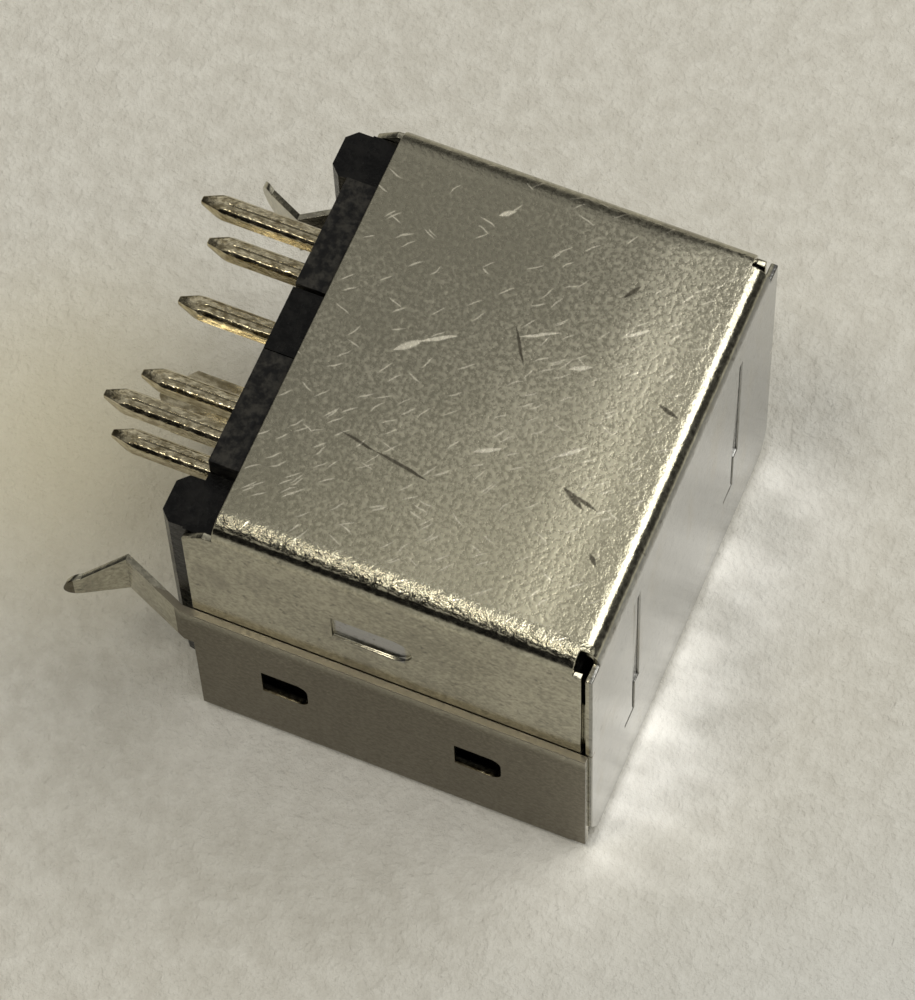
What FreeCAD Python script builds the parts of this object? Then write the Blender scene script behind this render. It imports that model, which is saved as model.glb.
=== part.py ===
# Right-angle six-way mini-DIN socket for a circuit board, in millimetres.
# x runs across the socket, y runs from the mating face (low) to the back plate (high),
# z rises from the board. The origin is on the board, at the middle of the row of four tails.
import FreeCAD, Part
import os
import re

Vector = FreeCAD.Vector
Rotation = FreeCAD.Rotation

doc = FreeCAD.newDocument("mini_din_socket")

# Driving dimensions: name, size, what it is
driving = [
    ("tail_margin", 3.875, "outer tails to the outside of the front shield"),
    ("back_clear", 1.79, "row of two tails to the back plate"),
    ("roof", 1.13, "outside of the ground ring up to the top of the shield"),
    ("front_reach", 7.85, "row of four tails to the mating face"),
    ("plate", 0.22, "thickness of the shield metal"),
    ("fit_gap", 0.02, "clearance between pieces that seat on each other"),
    ("board_gap", 0.8, "board to the lower edge of the shields"),
    ("seam_depth", 6.41, "depth of the front shield's side walls"),
    ("lap", 0.6, "how far the back flaps slide under the front walls"),
    ("back_rise", 0.95, "lower edge of the back plate above the flaps' edge"),
    ("bend_radius", 0.6, "outer radius of the back shield's bends"),
    ("front_bend", 0.32, "outer radius of the front shield's bends"),
    ("flap_drop", 0.34, "top of the shield down to the flaps' upper edge"),
    ("wall_drop", 0.12, "top of the shield down to the front walls' upper edge"),
    ("top_setback", 0.3, "mating face to the top plate's front edge"),
    ("top_corner", 0.9, "cut corner of the top plate"),
    ("flange_depth", 9.35, "depth of the front shield's top flange"),
    ("flange_notch", 1.08, "width of the notch in the side of the flange"),
    ("notch_start", 3.2, "mating face to the flange notch"),
    ("notch_cut", 0.5, "depth of the flange notch"),
    ("slit_span", 7.8, "between the two slits of the top plate"),
    ("slit_shift", 0.2, "how far both slits sit off centre"),
    ("slit_width", 0.45, "width of a slit"),
    ("slit_length", 5.6, "length of a slit"),
    ("slit_start", 4.85, "mating face to the start of a slit"),
    ("score_width", 0.14, "width of the fine cut that leads on from a slit"),
    ("score_length", 1.6, "length of that fine cut"),
    ("window_tall", 1.45, "side window along the height"),
    ("window_wide", 1.25, "side window along the depth"),
    ("window_round", 0.35, "corner radius at the window's upper end"),
    ("window_depth", 2.85, "mating face to the side windows"),
    ("window_low", 2.9, "board to the lower window"),
    ("window_pitch", 6.08, "lower window to upper window"),
    ("emboss_length", 2.45, "length of the pressed mark in a flap"),
    ("emboss_width", 1.25, "width of the pressed mark"),
    ("emboss_depth", 0.12, "depth of the pressed mark"),
    ("emboss_low", 5.25, "board to the pressed mark"),
    ("emboss_start", 8.1, "mating face to the pressed mark"),
    ("leg_width", 1.9, "width of a side leg"),
    ("leg_bend", 0.3, "shields' edge down to the first bend of a side leg"),
    ("left_lean", 0.9, "how far the left leg leans in to its knee"),
    ("left_knee", 1.62, "board down to the left leg's knee"),
    ("left_kick", 0.95, "how far the left leg's end leans out"),
    ("left_reach", 3.3, "board down to the left leg's end"),
    ("right_lean", 1.3, "how far the right leg leans in to its knee"),
    ("right_knee", 1.5, "board down to the right leg's knee"),
    ("right_kick", 1.3, "how far the right leg's end leans out"),
    ("right_reach", 3.28, "board down to the right leg's end"),
    ("tail_reach", 3.25, "board down to the tips of the tails"),
    ("tail_side", 0.64, "side of a folded tail"),
    ("tail_bevel", 0.12, "bevel along a tail's edges"),
    ("tail_tip", 0.2, "side of the blunt end of a tail"),
    ("tip_length", 0.75, "length of a tail's taper"),
    ("row_step", 2.5, "row of four tails to row of two"),
    ("inner_pitch", 2.6, "between the two middle tails"),
    ("outer_pitch", 6.8, "between the two outer tails"),
    ("upper_pitch", 5.3, "between the two upper contacts"),
    ("axis_height", 6.98, "board to the socket's axis"),
    ("lower_drop", 3.0, "axis down to the lower contacts"),
    ("middle_drop", 0.3, "axis down to the middle contacts"),
    ("upper_rise", 2.3, "axis up to the upper contacts"),
    ("rim", 0.43, "outside of the ground ring to the edge of the front shield's opening"),
    ("plug_gap", 0.6, "width of the groove that the plug's shell goes into"),
    ("ring_length", 3.9, "length of the ground ring"),
    ("key_height", 0.3, "how far the ring's keys stand in"),
    ("bottom_key", 1.9, "width of the ring's bottom key"),
    ("side_key", 0.9, "width of the ring's side keys"),
    ("finger_width", 1.0, "width of a ring finger"),
    ("finger_length", 2.6, "length of a ring finger"),
    ("finger_slot", 0.2, "slot round a ring finger"),
    ("finger_lean", 5.0, "angle at which a ring finger leans in"),
    ("ground_width", 2.1, "width of the centre leg"),
    ("ground_flat", 0.26, "flat end of the centre leg"),
    ("ground_taper", 0.75, "length of the centre leg's taper"),
    ("ground_reach", 3.55, "board down to the centre leg's end"),
    ("core_diameter", 8.5, "diameter of the insulator core"),
    ("core_recess", 0.6, "mating face to the core's face"),
    ("annulus_depth", 5.7, "mating face to the floor of the plug's groove"),
    ("key_slot_width", 2.1, "width of the key slot in the core"),
    ("key_slot_height", 1.6, "height of the key slot"),
    ("key_slot_rise", 1.75, "axis up to the key slot"),
    ("key_slot_depth", 4.2, "depth of the key slot"),
    ("sleeve_outer", 1.36, "outer diameter of a contact sleeve"),
    ("sleeve_bore", 1.02, "bore of a contact sleeve"),
    ("sleeve_slit", 0.14, "slit of a contact sleeve"),
    ("sleeve_setback", 0.5, "core's face to the front of a sleeve"),
    ("pin_hole", 1.2, "diameter of the holes in the core's face"),
    ("floor_height", 0.75, "board to the underside of the housing"),
    ("foot_width", 1.55, "width of a foot"),
    ("foot_inset", 0.045, "housing's side to a foot's outer side"),
    ("foot_front", 2.55, "mating face to the front of a foot"),
    ("foot_end", 0.94, "back of a foot to the back plate"),
    ("foot_bevel", 0.3, "bevel along a foot's inner edge"),
    ("foot_slope", 0.3, "bevel along a foot's outer edge"),
    ("relief_height", 1.5, "height of the cut behind each foot"),
    ("chamber_side", 0.28, "chamber for the tails to a foot's inner side"),
    ("row_clear", 1.35, "front of the chamber to the row of four tails"),
    ("chamber_top", 10.3, "board to the top of the chamber"),
    ("rib_half", 1.05, "half the width of the rib at the back"),
    ("rib_depth", 0.86, "depth of the rib"),
    ("seam_gap", 0.12, "open seam beside the rib"),
    ("cover_floor", 1.1, "thickness of the cover's floor"),
    ("tail_hole", 0.7, "side of the cover's holes"),
    ("nub_radius", 0.35, "radius of the small nubs by the feet"),
    ("nub_drop", 0.3, "how far a nub stands below the housing"),
]
size = {name: value for name, value, note in driving}

# Sizes that follow from those above: the name, and its formula over the sheet's names
follows = {
    "width": "(outer_pitch + 2 * tail_margin)",
    "depth": "(front_reach + row_step + back_clear)",
    "ring_bore": "(core_diameter + 2 * plug_gap)",
    "opening": "(core_diameter + 2 * plug_gap + 2 * plate + 2 * rim)",
    "top_height": "(axis_height + core_diameter / 2 + plug_gap + plate + roof)",
    "foot_outer": "(width / 2 - 2 * plate - 2 * fit_gap - foot_inset)",
    "foot_inner": "(width / 2 - 2 * plate - 2 * fit_gap - foot_inset - foot_width)",
    "chamber_half": "(width / 2 - 2 * plate - 2 * fit_gap - foot_inset - foot_width - chamber_side)",
    "foot_back": "(depth - foot_end)",
}
size["width"] = size["outer_pitch"] + 2 * size["tail_margin"]
size["depth"] = size["front_reach"] + size["row_step"] + size["back_clear"]
size["ring_bore"] = size["core_diameter"] + 2 * size["plug_gap"]
size["top_height"] = size["axis_height"] + size["ring_bore"] / 2 + size["plate"] + size["roof"]

sheet = doc.addObject("Spreadsheet::Sheet", "Sizes")
for row, (name, value, note) in enumerate(driving, start=1):
    sheet.set(f"A{row}", note)
    sheet.set(f"B{row}", str(value))
    sheet.setAlias(f"B{row}", name)
doc.recompute()

# Places that several pieces share, as formulas over the sheet's names
front = "(0 - front_reach)"
back = "(depth - front_reach)"
half = "(width / 2)"
wall_inner = "(width / 2 - plate)"
flap_outer = "(width / 2 - plate - fit_gap)"
flap_inner = "(width / 2 - 2 * plate - fit_gap)"
body_half = "(width / 2 - 2 * plate - 2 * fit_gap)"
flange_top = "(top_height - plate - fit_gap)"
flange_under = "(top_height - 2 * plate - fit_gap)"
body_top = "(top_height - 2 * plate - 2 * fit_gap)"
body_front = "(plate + fit_gap - front_reach)"
body_back = "(depth - front_reach - plate - fit_gap)"
seam = "(seam_depth - front_reach)"
flap_front = "(seam_depth - front_reach - lap)"
core_face = "(core_recess - front_reach)"
rib_front = "(depth - front_reach - plate - fit_gap - rib_depth)"
chamber_face = "(0 - row_clear)"
sleeve_front = "(core_recess + sleeve_setback - front_reach)"
ring_outer = "(ring_bore / 2 + plate)"
ring_seat = "(ring_bore / 2 + plate + fit_gap)"
ring_front = "(plate + fit_gap - front_reach)"
ring_back = "(plate + fit_gap + ring_length - front_reach)"


def bind(thing, prop, formula):
    """Tie one property to the sheet."""
    names = re.compile(r"[a-z_]+")
    while any(word in follows for word in names.findall(formula)):
        formula = names.sub(lambda word: follows.get(word.group(0), word.group(0)), formula)
    thing.setExpression(prop, names.sub(lambda word: "Sizes." + word.group(0), formula))


def box(name, x, y, z):
    """A box between the given low and high places along each axis."""
    thing = doc.addObject("Part::Box", name)
    for side, axis, (low, high) in zip(("Length", "Width", "Height"), "xyz", (x, y, z)):
        bind(thing, side, f"({high}) - ({low})")
        bind(thing, f"Placement.Base.{axis}", low)
    return thing


def stand(thing, direction, centre, span, turn=0):
    """Stand a cylinder or a prism along an axis, through the centre given on the other two."""
    lean = {
        "x": Rotation(Vector(0, 0, 1), Vector(1, 0, 0)),
        "y": Rotation(Vector(0, 0, 1), Vector(0, 1, 0)),
        "z": Rotation(),
    }[direction]
    spin = Rotation(Vector(0, 0, 1), turn)
    thing.Placement = FreeCAD.Placement(Vector(), lean.multiply(spin))
    low, high = span
    bind(thing, "Height", f"({high}) - ({low})")
    places = dict(zip([axis for axis in "xyz" if axis != direction], centre))
    places[direction] = low
    for axis, place in places.items():
        bind(thing, f"Placement.Base.{axis}", place)
    return thing


def rod(name, direction, radius, centre, span, turn=0, sweep=360):
    """A cylinder along an axis; a sweep under 360 degrees starts at the given turn."""
    thing = doc.addObject("Part::Cylinder", name)
    thing.Angle = sweep
    bind(thing, "Radius", radius)
    return stand(thing, direction, centre, span, turn)


def bevel(name, direction, width, edge, span):
    """A four-sided bar that takes a bevel of the given width off the edge it stands on."""
    thing = doc.addObject("Part::Prism", name)
    thing.Polygon = 4
    bind(thing, "Circumradius", width)
    return stand(thing, direction, edge, span)


def fuse(name, pieces):
    """All the given pieces as one."""
    thing = doc.addObject("Part::MultiFuse", name)
    thing.Shapes = pieces
    thing.Refine = True
    return thing


def cut(name, base, tools):
    """The base with every tool taken out of it."""
    thing = doc.addObject("Part::Cut", name)
    thing.Base = base
    thing.Tool = tools[0] if len(tools) == 1 else fuse(name + "_tools", tools)
    thing.Refine = True
    return thing


def both(x_low, x_high):
    """The same stretch of x on the right and on the left."""
    return [("right", (x_low, x_high)), ("left", (f"0 - ({x_high})", f"0 - ({x_low})"))]


def bend(name, direction, radius, centre, span, turn):
    """A quarter of a tube, one plate thick."""
    outer = rod(name + "_outer", direction, radius, centre, span, turn, 90)
    inner = rod(name + "_inner", direction, f"({radius}) - plate", centre, span)
    return cut(name, outer, [inner])


def solid(name, shape):
    """A shape made from the sheet's values in this file's own code."""
    thing = doc.addObject("Part::Feature", name)
    thing.Shape = shape
    return thing


def prism(points, along):
    """The polygon through the points, pushed along a vector."""
    wire = Part.makePolygon([Vector(*point) for point in points] + [Vector(*points[0])])
    return Part.Face(wire).extrude(Vector(*along))


# Each contact: name, x and height of its sleeve, x and row of its tail
lower_height = "axis_height - lower_drop"
middle_height = "axis_height - middle_drop"
upper_height = "axis_height + upper_rise"
contacts = []
for side, sign in (("right", ""), ("left", "0 - ")):
    contacts.append((f"lower_contact_{side}", f"{sign}inner_pitch / 2", lower_height,
                     f"{sign}inner_pitch / 2", "0"))
    contacts.append((f"middle_contact_{side}", f"{sign}outer_pitch / 2", middle_height,
                     f"{sign}outer_pitch / 2", "0"))
    contacts.append((f"upper_contact_{side}", f"{sign}upper_pitch / 2", upper_height,
                     f"{sign}outer_pitch / 2", "row_step"))


def make_back_shield():
    """One folded plate: top, back and two side flaps."""
    bend_x = f"({flap_outer} - bend_radius)"
    bend_y = f"({back} - bend_radius)"
    bend_z = "(top_height - bend_radius)"
    back_edge = "(board_gap + back_rise)"
    across = (f"0 - {bend_x}", bend_x)
    pieces = [
        box("back_plate", across, (f"{back} - plate", back), (back_edge, bend_z)),
        box("top_plate", (f"0 - {flap_outer}", flap_outer), (f"{front} + top_setback", bend_y),
            ("top_height - plate", "top_height")),
        bend("top_bend", "x", "bend_radius", (bend_y, bend_z), across, 90),
    ]
    for side, stretch in both(flap_inner, flap_outer):
        pieces.append(box(f"flap_{side}", stretch, (flap_front, bend_y),
                          ("board_gap", "top_height - flap_drop")))
    pieces.append(bend("side_bend_right", "z", "bend_radius", (bend_x, bend_y),
                       (back_edge, bend_z), 0))
    pieces.append(bend("side_bend_left", "z", "bend_radius", (f"0 - {bend_x}", bend_y),
                       (back_edge, bend_z), 90))
    tools = []
    # The lower back corner of each flap rises to the back plate's edge
    corner_back = size["depth"] - size["front_reach"]
    rise = size["back_rise"]
    low = size["board_gap"]
    slope = [(corner_back - size["bend_radius"] - 0.55 * rise, low),
             (corner_back - size["bend_radius"] + 0.25 * rise, low + rise),
             (corner_back + rise, low + rise), (corner_back + rise, low - rise),
             (corner_back - size["bend_radius"] - 0.55 * rise, low - rise)]
    points = [(-size["width"], y, z) for y, z in slope]
    tools.append(solid("flap_corner", prism(points, (2 * size["width"], 0, 0))))
    # Cut corners at the front of the top plate
    front_edge = size["top_setback"] - size["front_reach"]
    side_edge = size["width"] / 2 - size["plate"] - size["fit_gap"]
    corner = size["top_corner"]
    for sign in (1, -1):
        points = [(sign * side_edge, front_edge + corner, 0),
                  (sign * (side_edge - corner / 2), front_edge, 0),
                  (sign * (side_edge - corner / 2), front_edge - corner, 0),
                  (sign * (side_edge + corner), front_edge - corner, 0),
                  (sign * (side_edge + corner), front_edge + corner, 0)]
        shape = prism(points, (0, 0, 2 * size["plate"]))
        shape.translate(Vector(0, 0, size["top_height"] - 1.5 * size["plate"]))
        tools.append(solid(f"top_corner_{'right' if sign > 0 else 'left'}", shape))
    # Slits in the top plate, each with a fine cut that leads on and turns
    for side, offset in (("right", "slit_span / 2"), ("left", "0 - slit_span / 2")):
        centre = f"({offset} + slit_shift)"
        start = f"({front} + slit_start)"
        depth_z = ("top_height - 2 * plate", "top_height + plate")
        tools.append(box(f"slit_{side}", (f"{centre} - slit_width / 2", f"{centre} + slit_width / 2"),
                         (start, f"{start} + slit_length"), depth_z))
        near = f"{centre} - slit_width / 2"
        tools.append(box(f"score_{side}", (near, f"{near} + score_width"),
                         (f"{start} - score_length", start), depth_z))
        tools.append(box(f"turn_{side}", (f"{near} - 4 * score_width", f"{near} + score_width"),
                         (f"{start} - score_length - score_width", f"{start} - score_length"), depth_z))
    # A pressed mark in each flap, square at its lower end and round at its upper end
    for side, stretch in both(f"{flap_outer} - emboss_depth", f"{flap_outer} + plate"):
        y_low = f"({front} + emboss_start)"
        middle = f"({y_low} + emboss_width / 2)"
        end = "(emboss_low + emboss_length - emboss_width / 2)"
        tools.append(box(f"emboss_{side}", stretch, (y_low, f"{y_low} + emboss_width"),
                         ("emboss_low", end)))
        tools.append(rod(f"emboss_end_{side}", "x", "emboss_width / 2", (middle, end), stretch))
    return cut("back_shield", fuse("back_shield_plates", pieces), tools)


def side_leg(side, sign):
    """A side leg: leans in to its knee, leans out to its end, and narrows to a round tip."""
    inner = size["width"] / 2 - size["plate"]
    thick = size["plate"]
    root = size["board_gap"] + size["plate"]
    start = size["board_gap"] - size["leg_bend"]
    knee = -size[side + "_knee"]
    tip = -size[side + "_reach"]
    knee_x = inner - size[side + "_lean"]
    path = [(inner, root), (inner, start), (knee_x, knee), (knee_x + size[side + "_kick"], tip)]
    points = [(sign * x, 0, z) for x, z in path] + [(sign * (x + thick), 0, z) for x, z in path[::-1]]
    width = size["leg_width"]
    leg_back = size["seam_depth"] - size["front_reach"]
    bar = prism(points, (0, width, 0))
    bar.translate(Vector(0, leg_back - width, 0))
    # Outline seen from the side: straight at the front, sloping at the back to a round tip
    radius = width / 4
    reach = size["width"]
    narrow = [(0, leg_back - width, root), (0, leg_back, root), (0, leg_back, knee),
              (0, leg_back - width + 2 * radius, tip + radius),
              (0, leg_back - width, tip + radius)]
    blade = prism(narrow, (sign * reach, 0, 0))
    nose = Part.makeCylinder(radius, reach, Vector(0, leg_back - width + radius, tip + radius),
                             Vector(sign, 0, 0))
    return solid("leg_" + side, bar.common(blade.fuse(nose)))


def make_front_shield():
    """One folded plate: face with the round opening, two walls, top flange and two legs."""
    corner_x = f"({half} - front_bend)"
    corner_y = f"({front} + front_bend)"
    corner_z = f"({flange_top} - front_bend)"
    wall_top = "(top_height - wall_drop)"
    pieces = [
        box("face", (f"0 - {corner_x}", corner_x), (front, f"{front} + plate"),
            ("board_gap", corner_z)),
        bend("face_bend_right", "z", "front_bend", (corner_x, corner_y), ("board_gap", corner_z), -90),
        bend("face_bend_left", "z", "front_bend", (f"0 - {corner_x}", corner_y),
             ("board_gap", corner_z), 180),
        bend("face_bend_top", "x", "front_bend", (corner_y, corner_z),
             (f"0 - {corner_x}", corner_x), 180),
        box("flange_front", (f"plate + fit_gap - {wall_inner}", f"{wall_inner} - plate - fit_gap"),
            (corner_y, f"{flap_front} - fit_gap"), (flange_under, flange_top)),
        box("flange_back", (f"0 - {body_half}", body_half), (corner_y, f"{front} + flange_depth"),
            (flange_under, flange_top)),
    ]
    for side, stretch in both(wall_inner, half):
        pieces.append(box(f"wall_{side}", stretch, (corner_y, seam), ("board_gap", wall_top)))
    pieces.append(side_leg("right", 1))
    pieces.append(side_leg("left", -1))
    across = (f"0 - {half} - plate", f"{half} + plate")
    tools = [rod("opening", "y", "opening / 2", ("0", "axis_height"),
                 (f"{front} - plate", f"{front} + 2 * plate"))]
    for level, low in (("lower", "window_low"), ("upper", "(window_low + window_pitch)")):
        y_low = f"({front} + window_depth)"
        y_high = f"({y_low} + window_wide)"
        top = f"({low} + window_tall)"
        tools.append(box(f"window_{level}", across, (y_low, y_high), (low, f"{top} - window_round")))
        tools.append(box(f"window_{level}_end", across,
                         (f"{y_low} + window_round", f"{y_high} - window_round"), (low, top)))
        for end, y_round in (("front", f"{y_low} + window_round"), ("back", f"{y_high} - window_round")):
            tools.append(rod(f"window_{level}_{end}", "x", "window_round",
                             (y_round, f"{top} - window_round"), across))
    for side, stretch in both(f"{body_half} - notch_cut", f"{wall_inner} - fit_gap"):
        y_low = f"({front} + notch_start)"
        tools.append(box(f"flange_notch_{side}", stretch, (y_low, f"{y_low} + flange_notch"),
                         (f"{flange_under} - plate", f"{flange_top} + plate / 2")))
    return cut("front_shield", fuse("front_shield_plates", pieces), tools)


def make_ground_ring():
    """A rolled ring with keys, two spring fingers and the flat centre leg."""
    axis = ("0", "axis_height")
    along = (ring_front, ring_back)
    tube = cut("ring_tube", rod("ring_outside", "y", ring_outer, axis, along),
               [rod("ring_bore_rod", "y", "ring_bore / 2", axis, along)])
    reach = (f"{ring_outer} - 2 * plate", f"{ring_outer} + plate")
    finger_front = f"({ring_back} - finger_length - 4 * finger_slot)"
    tools = [box("roll_seam", ("0 - fit_gap * 3", "fit_gap * 3"), along,
                 ("axis_height + ring_bore / 4", f"axis_height + {ring_outer} + plate"))]
    for side, stretch in both(*reach):
        tools.append(box(f"finger_window_{side}", stretch,
                         (finger_front, f"{finger_front} + finger_length + finger_slot"),
                         ("axis_height - finger_width / 2 - finger_slot",
                          "axis_height + finger_width / 2 + finger_slot")))
    pieces = [cut("ring_open", tube, tools)]
    pieces.append(box("centre_leg", ("0 - ground_width / 2", "ground_width / 2"),
                      (f"{ring_back} - plate", ring_back),
                      ("ground_taper - ground_reach", "axis_height - ring_bore / 2")))
    tip = doc.addObject("Part::Wedge", "centre_leg_tip")
    tip.Placement = FreeCAD.Placement(Vector(), Rotation(Vector(1, 0, 0), -90))
    for prop, formula in (("Xmin", "0 - ground_width / 2"), ("Xmax", "ground_width / 2"),
                          ("Ymin", "0"), ("Ymax", "ground_taper"), ("Zmin", "0 - plate"),
                          ("Zmax", "0"), ("X2min", "0 - ground_flat / 2"),
                          ("X2max", "ground_flat / 2"), ("Z2min", "0 - plate"), ("Z2max", "0"),
                          ("Placement.Base.y", ring_back),
                          ("Placement.Base.z", "ground_taper - ground_reach")):
        bind(tip, prop, formula)
    pieces.append(tip)
    inner = size["ring_bore"] / 2
    axis_z = size["axis_height"]
    ring_y = size["plate"] + size["fit_gap"] - size["front_reach"]
    key_length = 0.75 * size["ring_length"]
    # Keys: blocks that stand in from the ring's wall
    for name, angle, key_width in (("key_bottom", 270, size["bottom_key"]),
                                   ("key_right", 35, size["side_key"]),
                                   ("key_left", 145, size["side_key"])):
        block = Part.makeBox(size["key_height"] + size["plate"] / 2, key_length, key_width,
                             Vector(inner - size["key_height"], ring_y, -key_width / 2))
        block.rotate(Vector(), Vector(0, 1, 0), -angle)
        block.translate(Vector(0, 0, axis_z))
        pieces.append(solid(name, block))
    # Fingers: tongues that stay joined at their front end and lean in towards the back
    front_y = (size["plate"] + size["fit_gap"] + size["ring_length"] - size["front_reach"]
               - size["finger_length"] - 4 * size["finger_slot"])
    for name, sign in (("finger_right", 1), ("finger_left", -1)):
        tongue = Part.makeBox(size["plate"], size["finger_length"] + size["finger_slot"],
                              size["finger_width"],
                              Vector(0, -size["finger_slot"], -size["finger_width"] / 2))
        tongue.rotate(Vector(), Vector(0, 0, 1), size["finger_lean"])
        tongue.translate(Vector(inner, front_y, 0))
        wall = Part.makeCylinder(inner + size["plate"], 2 * size["ring_length"],
                                 Vector(0, front_y - size["ring_length"], 0), Vector(0, 1, 0))
        tongue = tongue.common(wall)
        if sign < 0:
            tongue = tongue.mirror(Vector(), Vector(1, 0, 0))
        tongue.translate(Vector(0, 0, axis_z))
        pieces.append(solid(name, tongue))
    return fuse("ground_ring", pieces)


def make_housing():
    """The moulded insulator: block, collar, core, feet and the rib between the cover's arms."""
    axis = ("0", "axis_height")
    ledge = "(board_gap - fit_gap)"
    foot_low = f"({front} + foot_front)"
    foot_high = f"({front} + foot_back)"
    pieces = [
        box("block", (f"0 - {body_half}", body_half), (body_front, body_back),
            ("floor_height", body_top)),
        rod("collar", "y", "opening / 2 - fit_gap", axis, (front, f"{body_front} + plate")),
    ]
    for side, stretch in both("foot_inner", "foot_outer"):
        pieces.append(box(f"foot_{side}", stretch, (f"{foot_low} + {ledge}", foot_high), ("0", ledge)))
        pieces.append(rod(f"foot_nose_{side}", "x", ledge, (f"{foot_low} + {ledge}", ledge), stretch,
                          270, 90))
    for side, nub_x in (("right", "chamber_half + nub_radius"), ("left", "0 - chamber_half - nub_radius")):
        pieces.append(rod(f"nub_{side}", "z", "nub_radius", (nub_x, f"{foot_high} - 2 * nub_radius"),
                          ("floor_height - nub_drop", "floor_height + plate")))
    tools = [
        cut("groove", rod("groove_outside", "y", ring_seat, axis, (f"{front} - plate",
                          f"{front} + annulus_depth")),
            [rod("groove_core", "y", "core_diameter / 2", axis, (core_face, f"{front} + annulus_depth"))]),
        box("key_slot", ("0 - key_slot_width / 2", "key_slot_width / 2"),
            (f"{core_face} - plate", f"{core_face} + key_slot_depth"),
            ("axis_height + key_slot_rise", "axis_height + key_slot_rise + key_slot_height")),
        box("chamber", ("0 - chamber_half", "chamber_half"), (chamber_face, f"{back} + plate"),
            ("floor_height - plate", "chamber_top")),
        box("ground_slot", ("0 - ground_width / 2 - fit_gap", "ground_width / 2 + fit_gap"),
            (f"{ring_back} - plate - fit_gap", f"{ring_back} + fit_gap"),
            ("floor_height - plate", "axis_height - ring_bore / 2")),
    ]
    for name, x, height, tail_x, row in contacts:
        tools.append(rod(f"{name}_hole", "y", "pin_hole / 2", (x, height),
                         (f"{core_face} - plate", f"{sleeve_front} + plate")))
        tools.append(rod(f"{name}_seat", "y", "sleeve_outer / 2 + fit_gap", (x, height),
                         (f"{sleeve_front} - fit_gap", f"{chamber_face} + plate")))
    for side, stretch in both("chamber_half - plate", f"{body_half} + plate"):
        tools.append(box(f"relief_{side}", stretch, (foot_high, f"{back} + plate"),
                         ("floor_height - plate", "floor_height + relief_height")))
    for side, sign in (("right", ""), ("left", "0 - ")):
        tools.append(bevel(f"foot_edge_{side}", "y", "foot_bevel", (f"{sign}foot_inner", "0"),
                           (f"{foot_low} - plate", f"{foot_high} + plate")))
        tools.append(bevel(f"foot_slope_{side}", "y", "foot_slope", (f"{sign}foot_outer", "0"),
                           (f"{foot_low} - plate", f"{foot_high} + plate")))
        tools.append(bevel(f"back_edge_{side}", "z", "bend_radius - plate",
                           (f"{sign}{body_half}", body_back), ("0 - plate", "top_height")))
    across = (f"0 - {half}", half)
    tools.append(bevel("back_edge_top", "x", "bend_radius - plate", (body_back, body_top), across))
    tools.append(bevel("front_edge_top", "x", "front_bend - plate", (body_front, body_top), across))
    moulding = cut("moulding", fuse("moulding_block", pieces), tools)
    rib = box("rib", ("0 - rib_half", "rib_half"), (rib_front, body_back),
              ("floor_height", "chamber_top + plate"))
    return fuse("housing", [moulding, rib])


def make_rear_cover():
    """The moulded cover under and behind the contacts, forked round the housing's rib."""
    side = "(chamber_half - fit_gap)"
    low = f"({chamber_face} + fit_gap)"
    pieces = [
        box("cover_floor_plate", (f"0 - {side}", side), (low, body_back),
            ("floor_height", "floor_height + cover_floor")),
        box("cover_arm_right", ("rib_half", side), (f"{rib_front} + fit_gap", body_back),
            ("floor_height", "chamber_top - fit_gap")),
        box("cover_arm_left", (f"0 - {side}", "0 - rib_half"), (f"{rib_front} + fit_gap", body_back),
            ("floor_height", "chamber_top - fit_gap")),
    ]
    tools = [box("rib_gap", ("0 - rib_half - fit_gap", "rib_half + seam_gap"),
                 (f"{rib_front} - fit_gap", f"{back} + plate"), ("0", "chamber_top + plate"))]
    for name, x, height, tail_x, row in contacts:
        tools.append(box(f"{name}_tail_hole", (f"{tail_x} - tail_hole / 2", f"{tail_x} + tail_hole / 2"),
                         (f"{row} - tail_hole / 2", f"{row} + tail_hole / 2"),
                         ("0", "floor_height + cover_floor + plate")))
    return cut("rear_cover", fuse("cover_block", pieces), tools)


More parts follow.
